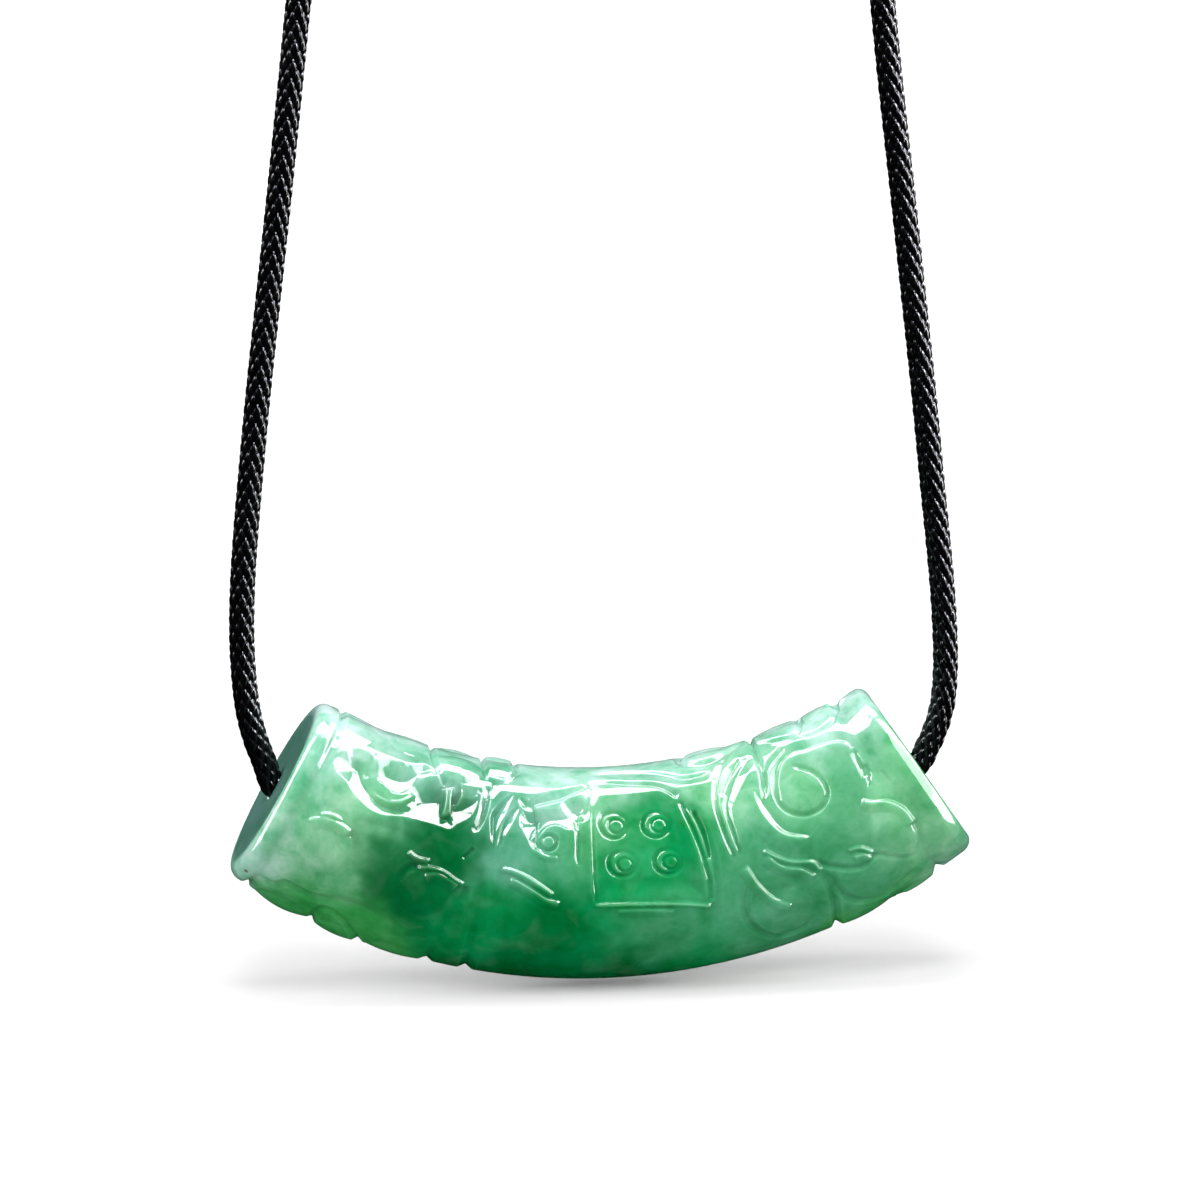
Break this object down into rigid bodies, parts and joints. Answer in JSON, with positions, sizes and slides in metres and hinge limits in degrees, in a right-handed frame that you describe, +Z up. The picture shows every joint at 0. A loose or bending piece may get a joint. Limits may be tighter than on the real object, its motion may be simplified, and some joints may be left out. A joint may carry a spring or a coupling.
{
  "type": "tube pendant",
  "caption": "Curved carved green stone tube with a bore along its length, hung on a braided black cord loop closed by a sliding knot between stopper knots.",
  "frame": {"origin": "under the top of the cord loop, in the middle between its two strands, where a bar or hook carries it", "axes": "+X along the tube from its left mouth to its right one, +Y from the carved front to the back, +Z up"},
  "size_m": [0.0585, 0.016, 0.1015],
  "materials": {
    "jade": "polished",
    "cord": "satin",
    "knot": "satin"
  },
  "bodies": {
    "loop": {"left_cord": "cord", "right_cord": "cord", "left_stop_knot": "knot", "right_stop_knot": "knot"},
    "tube": {"jade_tube": "jade", "cord_in_bore": "cord"},
    "slider": {"slide_knot": "knot"}
  },
  "joints": [
    {"name": "tube_roll", "type": "hinge", "parent": "loop", "child": "tube", "pos_m": [-0.00081, 0, -0.0821], "axis": [1, 0, 0], "range_deg": [-60, 60]},
    {"name": "knot_slide", "type": "hinge", "parent": "loop", "child": "slider", "pos_m": [0, 0, -0.0216], "axis": [0, 1, 0], "range_deg": [-26, 26]}
  ]
}
